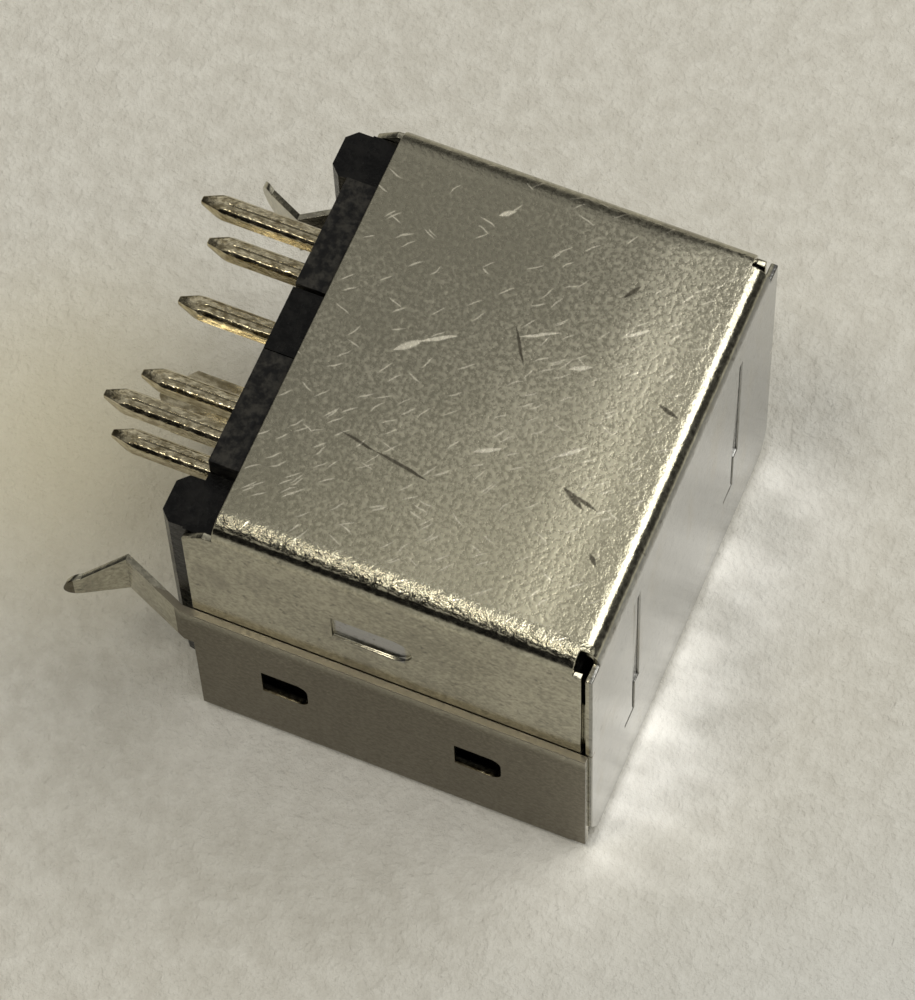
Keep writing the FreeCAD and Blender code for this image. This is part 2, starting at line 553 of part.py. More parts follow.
def make_contact(name, x, height, tail_x, row):
    """A contact: split sleeve, run to the back, bend down and a folded, pointed tail."""
    side = "tail_side / 2"
    back_end = f"({chamber_face} - fit_gap)"
    plug = f"({back_end} - 2 * plate)"
    sleeve = cut(f"{name}_sleeve", rod(f"{name}_tube", "y", "sleeve_outer / 2", (x, height),
                                       (sleeve_front, back_end)),
                 [rod(f"{name}_bore", "y", "sleeve_bore / 2", (x, height), (sleeve_front, plug)),
                  box(f"{name}_slit", (f"{x} - sleeve_slit / 2", f"{x} + sleeve_slit / 2"),
                      (sleeve_front, plug), (height, f"{height} + sleeve_outer"))])
    pieces = [sleeve, box(f"{name}_run", (f"{x} - {side}", f"{x} + {side}"),
                          (plug, f"{row} + {side}"), (f"{height} - {side}", f"{height} + {side}"))]
    if tail_x != x:
        outward = (f"{x} - {side}", f"{tail_x} + {side}")
        if x.startswith("0 - "):
            outward = (f"{tail_x} - {side}", f"{x} + {side}")
        pieces.append(box(f"{name}_jog", outward, (f"{row} - {side}", f"{row} + {side}"),
                          (f"{height} - {side}", f"{height} + {side}")))
    pieces.append(box(f"{name}_drop", (f"{tail_x} - {side}", f"{tail_x} + {side}"),
                      (f"{row} - {side}", f"{row} + {side}"),
                      ("tip_length - tail_reach", f"{height} + {side}")))
    tip = doc.addObject("Part::Wedge", f"{name}_tip")
    tip.Placement = FreeCAD.Placement(Vector(), Rotation(Vector(1, 0, 0), -90))
    for prop, formula in (("Xmin", f"0 - {side}"), ("Xmax", side), ("Ymin", "0"),
                          ("Ymax", "tip_length"), ("Zmin", f"0 - {side}"), ("Zmax", side),
                          ("X2min", "0 - tail_tip / 2"), ("X2max", "tail_tip / 2"),
                          ("Z2min", "0 - tail_tip / 2"), ("Z2max", "tail_tip / 2"),
                          ("Placement.Base.x", tail_x), ("Placement.Base.y", row),
                          ("Placement.Base.z", "tip_length - tail_reach")):
        bind(tip, prop, formula)
    pieces.append(tip)
    # Bevels along the four edges of the part of the tail that shows
    tools = []
    for corner, (across, along) in enumerate((("+", "+"), ("-", "+"), ("-", "-"), ("+", "-"))):
        tools.append(bevel(f"{name}_bevel_{corner}", "z", "tail_bevel",
                           (f"{tail_x} {across} {side}", f"{row} {along} {side}"),
                           ("0 - tail_reach", "floor_height + cover_floor")))
    return cut(name, fuse(f"{name}_bar", pieces), tools)


nodes = {
    "back_shield": make_back_shield(),
    "front_shield": make_front_shield(),
    "ground_ring": make_ground_ring(),
    "housing": make_housing(),
    "rear_cover": make_rear_cover(),
}
for name, x, height, tail_x, row in contacts:
    nodes[name] = make_contact(name, x, height, tail_x, row)
doc.recompute()

for thing in doc.Objects:
    if "Invalid" in thing.State or "Error" in thing.State:
        raise RuntimeError(f"{thing.Name} failed: {thing.State}")
for name, thing in nodes.items():
    thing.Label = name
    if thing.Shape.isNull() or not thing.Shape.isValid() or len(thing.Shape.Solids) != 1:
        raise RuntimeError(f"{name} is not one valid solid: {len(thing.Shape.Solids)}")
    print(name, round(thing.Shape.Volume, 2), "mm3")

os.makedirs("parts", exist_ok=True)
for name, thing in nodes.items():
    thing.Shape.exportStep(f"parts/{name}.step")
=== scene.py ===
import math
import bmesh
import bpy
from mathutils import Matrix, Vector


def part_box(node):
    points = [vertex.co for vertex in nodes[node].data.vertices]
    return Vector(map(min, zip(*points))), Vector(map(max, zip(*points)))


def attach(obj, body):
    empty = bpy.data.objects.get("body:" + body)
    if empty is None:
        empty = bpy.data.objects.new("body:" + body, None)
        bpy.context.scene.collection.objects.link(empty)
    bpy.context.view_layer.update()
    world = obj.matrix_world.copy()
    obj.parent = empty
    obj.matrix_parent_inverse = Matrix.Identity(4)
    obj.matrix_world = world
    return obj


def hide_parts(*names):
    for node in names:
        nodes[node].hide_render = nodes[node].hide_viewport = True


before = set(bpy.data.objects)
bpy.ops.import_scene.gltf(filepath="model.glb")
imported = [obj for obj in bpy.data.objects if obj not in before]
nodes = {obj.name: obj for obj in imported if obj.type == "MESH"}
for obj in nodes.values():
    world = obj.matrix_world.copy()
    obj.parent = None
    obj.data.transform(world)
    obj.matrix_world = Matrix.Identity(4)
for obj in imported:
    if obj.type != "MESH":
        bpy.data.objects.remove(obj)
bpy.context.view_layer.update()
scene = bpy.context.scene
scene.view_settings.view_transform = "Standard"
millimetre = 0.001
print("frame loaded with", len(nodes), "pieces")

# The sheet metal's planes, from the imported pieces, in millimetres
shieldLow, shieldHigh = [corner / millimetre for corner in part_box("back_shield")]
wallLow, wallHigh = [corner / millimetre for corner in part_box("front_shield")]
backPlane = shieldHigh.y
topPlane = shieldHigh.z
facePlane = wallLow.y
wallPlane = wallHigh.x


# Node helpers: an input may be a number, a colour or another node's output
def feed(tree, item, target):
    if isinstance(item, bpy.types.NodeSocket):
        tree.links.new(item, target)
    elif item is not None:
        target.default_value = item


def maths(tree, operation, first, second=None, third=None):
    node = tree.nodes.new("ShaderNodeMath")
    node.operation = operation
    for index, item in enumerate((first, second, third)):
        feed(tree, item, node.inputs[index])
    return node.outputs[0]


def vectorMaths(tree, operation, first, second=None, scale=None):
    node = tree.nodes.new("ShaderNodeVectorMath")
    node.operation = operation
    feed(tree, first, node.inputs[0])
    feed(tree, second, node.inputs[1])
    if scale is not None:
        feed(tree, scale, node.inputs["Scale"])
    return node.outputs["Value"] if operation in ("DOT_PRODUCT", "DISTANCE") else node.outputs[0]


def product(tree, *items):
    found = items[0]
    for item in items[1:]:
        found = maths(tree, "MULTIPLY", found, item)
    return found


def total(tree, *items):
    found = items[0]
    for item in items[1:]:
        found = maths(tree, "ADD", found, item)
    return found


def less(tree, first, second):
    return maths(tree, "SUBTRACT", first, second)


def ramp(tree, value, low, high, start=0.0, end=1.0, smooth=True):
    node = tree.nodes.new("ShaderNodeMapRange")
    node.interpolation_type = "SMOOTHSTEP" if smooth else "LINEAR"
    for index, item in enumerate((value, low, high, start, end)):
        feed(tree, item, node.inputs[index])
    return node.outputs[0]


def mixColour(tree, share, first, second, blend="MIX"):
    node = tree.nodes.new("ShaderNodeMix")
    node.data_type = "RGBA"
    node.blend_type = blend
    feed(tree, share, node.inputs[0])
    feed(tree, first, node.inputs[6])
    feed(tree, second, node.inputs[7])
    return node.outputs[2]


def noise(tree, place, scale, detail=2.0, rough=0.5):
    node = tree.nodes.new("ShaderNodeTexNoise")
    node.noise_dimensions = "3D"
    feed(tree, place, node.inputs["Vector"])
    node.inputs["Scale"].default_value = scale
    node.inputs["Detail"].default_value = detail
    node.inputs["Roughness"].default_value = rough
    return node.outputs[0]


def bump(tree, height, distance):
    node = tree.nodes.new("ShaderNodeBump")
    node.inputs["Strength"].default_value = 1.0
    node.inputs["Distance"].default_value = distance * millimetre
    feed(tree, height, node.inputs["Height"])
    return node.outputs[0]


def startMaterial(name):
    material = bpy.data.materials.new(name)
    material.use_nodes = True
    tree = material.node_tree
    shader = tree.nodes["Principled BSDF"]
    place = tree.nodes.new("ShaderNodeTexCoord").outputs["Object"]
    place = vectorMaths(tree, "SCALE", place, scale=1 / millimetre)
    return material, tree, shader, place


def parts(tree, vector):
    node = tree.nodes.new("ShaderNodeSeparateXYZ")
    feed(tree, vector, node.inputs[0])
    return node.outputs


def joined(tree, x, y, z=0.0):
    node = tree.nodes.new("ShaderNodeCombineXYZ")
    for index, item in enumerate((x, y, z)):
        feed(tree, item, node.inputs[index])
    return node.outputs[0]


def sheetPlane(tree, place):
    # Two coordinates along whichever flat side of the metal a point lies on
    normal = tree.nodes.new("ShaderNodeNewGeometry").outputs["Normal"]
    size = parts(tree, vectorMaths(tree, "ABSOLUTE", normal))
    x, y, z = parts(tree, place)
    sideways = maths(tree, "GREATER_THAN", size[0], 0.7)
    upward = maths(tree, "GREATER_THAN", size[2], 0.7)
    across = maths(tree, "ADD", maths(tree, "MULTIPLY", x, maths(tree, "SUBTRACT", 1.0, sideways)),
                   maths(tree, "MULTIPLY", y, sideways))
    along = maths(tree, "ADD", maths(tree, "MULTIPLY", z, maths(tree, "SUBTRACT", 1.0, upward)),
                  maths(tree, "MULTIPLY", y, upward))
    return joined(tree, across, along)


def ticks(tree, plane, angle, length, width, share):
    # Short straight marks at one angle, each in its own cell
    turn = tree.nodes.new("ShaderNodeVectorRotate")
    turn.rotation_type = "Z_AXIS"
    turn.inputs["Angle"].default_value = math.radians(angle)
    feed(tree, plane, turn.inputs["Vector"])
    stretched = vectorMaths(tree, "MULTIPLY", turn.outputs[0], (1 / length, 1 / (2.4 * width), 1))
    cell = tree.nodes.new("ShaderNodeTexVoronoi")
    cell.voronoi_dimensions = "2D"
    cell.inputs["Scale"].default_value = 1.0
    feed(tree, stretched, cell.inputs["Vector"])
    chosen = maths(tree, "GREATER_THAN", parts(tree, cell.outputs["Color"])[0], 1 - share)
    return maths(tree, "MULTIPLY", ramp(tree, cell.outputs["Distance"], 0.12, 0.3, 1.0, 0.0), chosen)


def strokeMark(tree, plane, start, end, width):
    # How close a point is to the line from start to end
    along = Vector((end[0] - start[0], end[1] - start[1], 0))
    offset = vectorMaths(tree, "SUBTRACT", plane, (start[0], start[1], 0))
    share = vectorMaths(tree, "DOT_PRODUCT", offset, along / along.length_squared)
    share = ramp(tree, share, 0.0, 1.0, smooth=False)
    nearest = vectorMaths(tree, "SCALE", tuple(along), scale=share)
    gap = vectorMaths(tree, "DISTANCE", offset, nearest)
    fromMiddle = maths(tree, "MULTIPLY_ADD", share, 2.0, -1.0)
    thin = maths(tree, "MULTIPLY_ADD", maths(tree, "MULTIPLY", fromMiddle, fromMiddle), -width, 1.1 * width)
    return maths(tree, "MULTIPLY_ADD", maths(tree, "DIVIDE", gap, thin), -1.0, 1.0)


def largest(tree, items):
    found = items[0]
    for item in items[1:]:
        found = maths(tree, "MAXIMUM", found, item)
    return maths(tree, "MAXIMUM", found, 0.0)


shieldLook = {
    "lightTin": (0.605, 0.575, 0.455, 1), "darkTin": (0.325, 0.308, 0.237, 1),
    "brightMark": (0.98, 0.93, 0.76, 1), "darkMark": (0.09, 0.08, 0.06, 1),
    "stain": (0.27, 0.25, 0.2, 1), "pressed": (0.5, 0.51, 0.56, 1),
    "warmSheenTin": (0.64, 0.6, 0.42, 1), "topShadeTint": (0.25, 0.26, 0.285, 1),
    "underSeamShade": (0.07, 0.052, 0.022, 1), "cutEdgeShade": (0.25, 0.23, 0.18, 1),
    "smoothness": 0.15, "roughest": 0.34, "grainPerMm": 7.0, "grainDepth": 0.014, "cloudPerMm": 0.35,
    "sootPerMm": 3.4, "smearPerMm": 1.1,
    "bendGrainPerMm": 4.2, "bendDepth": 0.1, "bendPolish": 0.09,
    # Short scratches: angle in degrees, and how many of the cells hold one
    "ticks": ((-44, 0.065), (-52, 0.05), (-30, 0.035), (68, 0.03)), "tickLength": 1.0, "tickWidth": 0.045,
    # The back plate falls away a little towards its bends: from where, to where, how much
    "sideFall": (wallPlane - 1.2, wallPlane - 0.5), "topFall": (topPlane - 3.6, topPlane - 0.45),
    "proud": 0.11, "seamY": -1.44, "markPlace": (0.88, 6.4), "markHalf": (0.5, 1.0),
    # Longer marks on the back plate: from, to (x, z in millimetres), width
    "brightStrokes": (((0.2, 4.3), (0.8, 4.95), 0.13), ((0.75, 4.9), (1.3, 5.8), 0.08),
                      ((5.3, 5.4), (5.6, 5.8), 0.1), ((3.0, 10.2), (3.5, 10.8), 0.07),
                      ((1.5, 9.1), (1.8, 9.7), 0.1), ((-1.2, 9.8), (-0.6, 10.5), 0.07),
                      ((1.9, 7.4), (2.5, 8.5), 0.06), ((-1.9, 7.6), (-1.5, 8.3), 0.09)),
    "darkStrokes": (((-2.7, 4.0), (-2.9, 5.1), 0.06), ((-2.9, 5.1), (-3.2, 6.8), 0.07),
                    ((4.2, 9.7), (4.7, 10.0), 0.1), ((1.4, 11.9), (1.2, 12.5), 0.09),
                    ((-2.0, 10.4), (-2.4, 11.1), 0.12), ((-2.1, 10.7), (-2.3, 11.5), 0.07),
                    ((-3.6, 11.8), (-3.9, 12.1), 0.09), ((2.2, 7.2), (1.1, 7.9), 0.06)),
}


def plateMarks(tree, place, onBack):
    # Short scratches everywhere, and the longer bright and dark marks of the back plate
    look = shieldLook
    plane = sheetPlane(tree, place)
    wander = joined(tree, noise(tree, place, 0.9), noise(tree, place, 1.3))
    wander = vectorMaths(tree, "SCALE", wander, scale=0.5)
    bentPlane = vectorMaths(tree, "ADD", plane, vectorMaths(tree, "SCALE", wander, scale=0.7))
    marks = [ticks(tree, bentPlane, angle, look["tickLength"], look["tickWidth"], share)
             for angle, share in look["ticks"]]
    scratched = product(tree, largest(tree, marks), ramp(tree, onBack, 0, 1, 0.25, 1.0))
    shifted = vectorMaths(tree, "ADD", plane, vectorMaths(tree, "SCALE", wander, scale=0.3))
    bright = largest(tree, [strokeMark(tree, shifted, *stroke) for stroke in look["brightStrokes"]])
    dark = largest(tree, [strokeMark(tree, shifted, *stroke) for stroke in look["darkStrokes"]])
    bright = product(tree, ramp(tree, bright, 0.0, 0.6), onBack)
    dark = product(tree, ramp(tree, dark, 0.0, 0.6), onBack)
    return scratched, bright, dark


def bendSkin(tree, x, y, z):
    # The bends were drawn over a tool, so their outer skin is coarse and sparkles
    nearBack = ramp(tree, y, backPlane - 0.15, backPlane - 0.04)
    nearSide = ramp(tree, product(tree, x, -1.0), shieldLook["sideFall"][0], wallPlane - 0.85)
    nearTop = ramp(tree, z, topPlane - 1.8, topPlane - 0.7, 0.0, 0.25)
    return product(tree, nearBack, maths(tree, "MAXIMUM", nearSide, nearTop))


def plateCrown(tree, sideways, y, z):
    # How far the plate's middle stands proud of its edges, in millimetres
    look = shieldLook
    across = ramp(tree, sideways, *look["sideFall"], look["proud"], 0.0)
    upward = ramp(tree, z, *look["topFall"], 1.0, 0.0)
    return product(tree, across, upward, maths(tree, "GREATER_THAN", y, 0.0))


def shieldTone(tree, place, grain, onBack, onWall, onTop):
    # Painted light and shade in the tone: a painted sheen makes the back plate brighter towards one corner,
    # and painted shade darkens the walls towards the front face and the top plate towards its far side
    x, y, z = parts(tree, place)
    cloud = noise(tree, place, shieldLook["cloudPerMm"], 3.0, 0.6)
    tone = maths(tree, "MULTIPLY_ADD", grain, 0.85, product(tree, cloud, 0.45))
    tone = total(tree, tone, ramp(tree, onBack, 0, 1, -0.1, -0.15))
    # Painted sheen: the back plate brighter towards one corner
    backSheen = ramp(tree, maths(tree, "MULTIPLY_ADD", x, -0.4, z), 1.5, 14.5, -0.16, 0.24)
    # Painted shade: the walls darker towards the front face
    lowWallShade = ramp(tree, y, facePlane + 1.0, facePlane + 7.6, 0.46, 0.13)
    # Painted shade: the top plate darker towards its far side
    topShadeFade = ramp(tree, x, -wallPlane, wallPlane, -0.04, 0.36, smooth=False)
    tone = total(tree, tone, product(tree, backSheen, onBack))
    tone = less(tree, tone, product(tree, lowWallShade, onWall))
    return less(tree, tone, product(tree, topShadeFade, onTop))


def pressedMark(tree, sideways, y, z):
    # The pressed rectangle on each flap
    look = shieldLook
    gaps = [maths(tree, "ABSOLUTE", less(tree, along, centre))
            for along, centre in zip((y, z), look["markPlace"])]
    inside = [ramp(tree, gap, half, half + 0.15, 1.0, 0.0) for gap, half in zip(gaps, look["markHalf"])]
    return product(tree, *inside, maths(tree, "GREATER_THAN", sideways, wallPlane - 0.5))


def shieldStainsAndShade(tree, place, colour, grain, onWall, offBack):
    # Smears and soot away from the back plate, and painted shade on the near wall below its seam
    look = shieldLook
    x, y, z = parts(tree, place)
    drift = joined(tree, x, product(tree, y, 0.3), product(tree, z, 0.6))
    smear = ramp(tree, noise(tree, drift, look["smearPerMm"], 4.0, 0.65), 0.52, 0.7, 0.0, 0.55)
    colour = mixColour(tree, product(tree, smear, offBack), colour, look["stain"])
    soot = ramp(tree, noise(tree, place, look["sootPerMm"], 3.0, 0.7), 0.56, 0.72, 0.0, 0.6)
    colour = mixColour(tree, product(tree, soot, offBack), colour, look["darkMark"])
    # Painted shade: the near wall darker below its seam, in patches
    seamShadeShare = ramp(tree, y, look["seamY"] - 0.6, look["seamY"] + 0.05, 0.9, 0.0)
    nearWall = product(tree, onWall, maths(tree, "LESS_THAN", x, 0.0))
    patchy = ramp(tree, grain, 0.35, 0.65, 1.0, 0.75)
    return mixColour(tree, product(tree, seamShadeShare, nearWall, patchy), colour, look["underSeamShade"])


def cutEdgeShade(tree, sideways, y):
    # The front shield's own cut edge beside the flaps, and painted shade on the narrow band either side of
    # the seam
    gap = maths(tree, "ABSOLUTE", less(tree, y, shieldLook["seamY"]))
    return product(tree, ramp(tree, gap, 0.03, 0.07, 1.0, 0.0),
                   maths(tree, "GREATER_THAN", sideways, wallPlane - 0.45))


def shieldTin():
    look = shieldLook
    material, tree, shader, place = startMaterial("tinPlatedSheet")
    x, y, z = parts(tree, place)
    sideways = maths(tree, "ABSOLUTE", x)
    onBack = ramp(tree, y, backPlane - 0.12, backPlane - 0.04)
    offBack = less(tree, 1.0, onBack)
    onWall = maths(tree, "GREATER_THAN", sideways, wallPlane - 0.1)
    onTop = maths(tree, "GREATER_THAN", z, topPlane - 0.1)
    grain = noise(tree, place, look["grainPerMm"], 3.0, 0.6)
    scratched, bright, dark = plateMarks(tree, place, onBack)
    bendMask = bendSkin(tree, x, y, z)
    cutShade = cutEdgeShade(tree, sideways, y)

    tone = shieldTone(tree, place, grain, onBack, onWall, onTop)
    colour = mixColour(tree, ramp(tree, tone, 0.34, 0.78), look["darkTin"], look["lightTin"])
    # Painted warm sheen: the back plate turns warmer towards the corner by the top plate and the near wall
    warmSheen = ramp(tree, less(tree, z, x), 3.0, 17.0, 0.0, 0.5)
    colour = mixColour(tree, product(tree, warmSheen, onBack), colour, look["warmSheenTin"])
    colour = mixColour(tree, product(tree, scratched, 0.7), colour, look["brightMark"])
    # Painted shade: the whole top plate darker and bluer
    colour = mixColour(tree, product(tree, onTop, 0.6), colour, look["topShadeTint"])
    colour = mixColour(tree, product(tree, pressedMark(tree, sideways, y, z), 0.7), colour, look["pressed"])
    colour = shieldStainsAndShade(tree, place, colour, grain, onWall, offBack)
    colour = mixColour(tree, bright, colour, look["brightMark"])
    colour = mixColour(tree, product(tree, dark, 0.85), colour, look["darkMark"])
    # The cut edge's colour, which also paints shade along the seam
    feed(tree, mixColour(tree, cutShade, colour, look["cutEdgeShade"]), shader.inputs["Base Color"])
    shader.inputs["Metallic"].default_value = 1.0

    polish = ramp(tree, grain, 0.3, 0.7, look["smoothness"], look["smoothness"] + 0.08)
    polish = total(tree, polish, product(tree, onBack, look["roughest"] - look["smoothness"] - 0.1))
    polish = less(tree, polish, product(tree, bendMask, look["bendPolish"]))
    feed(tree, total(tree, polish, product(tree, cutShade, 0.3)), shader.inputs["Roughness"])

    # One relief, in millimetres: fine grain, the plate's crown and the coarse skin of the bends
    grainHeight = ramp(tree, onBack, 0, 1, 0.3 * look["grainDepth"], look["grainDepth"])
    relief = maths(tree, "MULTIPLY_ADD", grain, grainHeight, plateCrown(tree, sideways, y, z))
    coarse = noise(tree, place, look["bendGrainPerMm"], 3.0, 0.65)
    relief = maths(tree, "MULTIPLY_ADD", coarse, product(tree, bendMask, look["bendDepth"]), relief)
    feed(tree, bump(tree, relief, 1.0), shader.inputs["Normal"])
    return material


contactLook = {
    "lightTin": (0.74, 0.67, 0.48, 1), "darkTin": (0.3, 0.25, 0.145, 1), "seam": (0.09, 0.075, 0.045, 1),
    "smoothness": 0.12, "grainPerMm": 6.0, "seamHalf": 0.02, "seamTop": -2.5,
}


def contactTin(name, grainDepth, seamX=None):
    look = contactLook
    material, tree, shader, place = startMaterial(name)
    x, y, z = parts(tree, place)
    drawn = joined(tree, x, y, maths(tree, "MULTIPLY", z, 0.55))     # grain drawn out along the strip
    grain = noise(tree, drawn, look["grainPerMm"], 3.0, 0.6)
    colour = mixColour(tree, ramp(tree, grain, 0.3, 0.7), look["darkTin"], look["lightTin"])
    height = grain
    if seamX is not None:
        # The strip is folded on itself: a closed seam runs down the middle of each face
        off = maths(tree, "ABSOLUTE", maths(tree, "SUBTRACT", x, seamX))
        seam = ramp(tree, off, look["seamHalf"] * 0.4, look["seamHalf"] * 1.6, 1.0, 0.0)
        seam = maths(tree, "MULTIPLY", seam, ramp(tree, z, look["seamTop"], look["seamTop"] + 0.3))
        colour = mixColour(tree, maths(tree, "MULTIPLY", seam, 0.6), colour, look["seam"])
        height = maths(tree, "SUBTRACT", height, maths(tree, "MULTIPLY", seam, 0.5))
    feed(tree, colour, shader.inputs["Base Color"])
    shader.inputs["Metallic"].default_value = 1.0
    feed(tree, ramp(tree, grain, 0.25, 0.75, look["smoothness"], look["smoothness"] + 0.12),
         shader.inputs["Roughness"])
    feed(tree, bump(tree, height, grainDepth), shader.inputs["Normal"])
    return material


plasticLook = {
    "black": (0.0015, 0.0015, 0.0015, 1), "scuffed": (0.03, 0.028, 0.023, 1), "gloss": 0.2,
    "grainPerMm": 6.0, "grainDepth": 0.02, "blotchPerMm": 2.2,
}


def mouldedBlack(name, scuff, roughness):
    look = plasticLook
    material, tree, shader, place = startMaterial(name)
    grain = noise(tree, place, look["grainPerMm"], 3.0, 0.6)
    blotch = noise(tree, place, look["blotchPerMm"], 4.0, 0.65)
    worn = ramp(tree, maths(tree, "ADD", maths(tree, "MULTIPLY", grain, 0.5), blotch), 0.62, 0.95, 0.0, scuff)
    shader.inputs["Specular IOR Level"].default_value = look["gloss"]
    feed(tree, mixColour(tree, worn, look["black"], look["scuffed"]), shader.inputs["Base Color"])
    feed(tree, ramp(tree, blotch, 0.3, 0.7, roughness, roughness + 0.14), shader.inputs["Roughness"])
    height = maths(tree, "ADD", grain, maths(tree, "MULTIPLY", blotch, 0.8))
    feed(tree, bump(tree, height, look["grainDepth"]), shader.inputs["Normal"])
    return material


dressing = {"sharpAngle": 32.0, "weldMm": 0.002, "segments": 2}


def dressPiece(name, material, edgeMm):
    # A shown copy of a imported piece, with its edges softened
    piece = bpy.data.objects.new(name + "_finished", nodes[name].data.copy())
    scene.collection.objects.link(piece)
    mesh = piece.data
    work = bmesh.new()
    work.from_mesh(mesh)
    bmesh.ops.remove_doubles(work, verts=work.verts, dist=dressing["weldMm"] * millimetre)
    bmesh.ops.dissolve_limit(work, angle_limit=math.radians(0.6), verts=work.verts, edges=work.edges)
    for face in work.faces:
        face.smooth = True
    work.to_mesh(mesh)
    work.free()
    if "custom_normal" in mesh.attributes:
        mesh.attributes.remove(mesh.attributes["custom_normal"])
    mesh.materials.clear()
    mesh.materials.append(material)
    soften = piece.modifiers.new("softEdges", "BEVEL")
    soften.width = edgeMm * millimetre
    soften.segments = dressing["segments"]
    soften.limit_method = "ANGLE"
    soften.angle_limit = math.radians(dressing["sharpAngle"])
    soften.use_clamp_overlap = True
    flatten = piece.modifiers.new("flatSides", "WEIGHTED_NORMAL")    # keeps the flat sides flat
    flatten.weight = 100
    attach(piece, "root")
    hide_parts(name)
    return piece


sheetTin = shieldTin()
dressPiece("back_shield", sheetTin, 0.035)
dressPiece("front_shield", sheetTin, 0.035)
dressPiece("ground_ring", contactTin("tinPlatedRing", 0.01), 0.025)
housingBlack = mouldedBlack("housingBlack", 0.14, 0.2)
dressPiece("housing", housingBlack, 0.05)
dressPiece("rear_cover", mouldedBlack("coverBlack", 1.0, 0.4), 0.04)
for name in sorted(nodes):
    if "contact" in name:
        low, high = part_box(name)
        tailX = (high.x if high.x > 0 else low.x) / millimetre
        tailX -= math.copysign(0.32 if "upper" in name else 0.68, tailX)
        dressPiece(name, contactTin(name + "_tin", 0.03, tailX), 0.04)

# Tongues of the front shield's flange that fill the top plate's two slits almost to the surface
tongueLook = {"centres": (-3.7, 4.1), "width": 0.34, "from": -2.95, "to": 2.55, "sink": 0.05,
              "thick": 0.1, "edge": 0.03}


def flangeTongues():
    look = tongueLook
    mesh = bpy.data.meshes.new("flange_tongues")
    work = bmesh.new()
    top = topPlane - look["sink"]
    size = (look["width"], look["to"] - look["from"], look["thick"])
    for centre in look["centres"]:
        corner = bmesh.ops.create_cube(work, size=1.0)["verts"]
        bmesh.ops.scale(work, verts=corner, vec=Vector(size) * millimetre)
        middle = Vector((centre, (look["to"] + look["from"]) / 2, top - look["thick"] / 2))
        bmesh.ops.translate(work, verts=corner, vec=middle * millimetre)
    bmesh.ops.bevel(work, geom=work.edges[:], offset=look["edge"] * millimetre, segments=3,
                    affect="EDGES", profile=0.5)
    for face in work.faces:
        face.smooth = True
    work.to_mesh(mesh)
    work.free()
    mesh.materials.append(sheetTin)
    tongues = bpy.data.objects.new("flange_tongues", mesh)
    scene.collection.objects.link(tongues)
    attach(tongues, "root")


flangeTongues()
print("pieces finished")


# The sheet of paper that the socket lies on: it shows from one side only, and is open under the socket
paperLook = {
    "light": (0.775, 0.76, 0.69, 1), "dark": (0.665, 0.645, 0.575, 1), "speck": (0.45, 0.42, 0.35, 1),
    "warmReflection": (0.74, 0.69, 0.52, 1), "warmReflectionPlace": (-1.0, -6.5), "warmReflectionReach": 9.0,
    "coolLight": (0.71, 0.72, 0.69, 1),
    "halfSize": 260.0, "inset": 0.5, "below": 0.02, "pulpPerMm": 1.5, "fibrePerMm": 4.6, "depth": 0.1,
    # Light that the top plate and, more dimly, the near wall throw on the paper beside them
    "glow": 0.37, "glowTint": (1.0, 0.97, 0.9, 1), "glowReach": (5.8, 8.6), "wallGlow": 0.1, "wallReach": 5.0,
}


def thrownLight(tree, x, z):
    look = paperLook
    beyond = less(tree, z, topPlane)
    fade = ramp(tree, beyond, 0.2, look["glowReach"][0], 1.0, 0.0, smooth=False)
    ends = ramp(tree, maths(tree, "ABSOLUTE", x), wallPlane - 2.2, look["glowReach"][1], 1.0, 0.0)
    ripple = noise(tree, joined(tree, x, product(tree, z, 0.5)), 0.55, 2.0, 0.5)
    fromTop = product(tree, fade, fade, ramp(tree, beyond, -0.2, 0.3), ends,
                      ramp(tree, ripple, 0.3, 0.7, 0.45, 1.4), ramp(tree, x, -6.0, 1.0, 1.5, 0.95))
    outside = less(tree, product(tree, x, -1.0), wallPlane)
    fromWall = product(tree, ramp(tree, outside, 0.0, look["wallReach"], 1.0, 0.0),
                       ramp(tree, outside, -0.3, 0.1), ramp(tree, z, -2.0, 2.0),
                       ramp(tree, z, topPlane, topPlane + 3.0, 1.0, 0.0))
    return total(tree, product(tree, fromTop, look["glow"]), product(tree, fromWall, look["wallGlow"]))


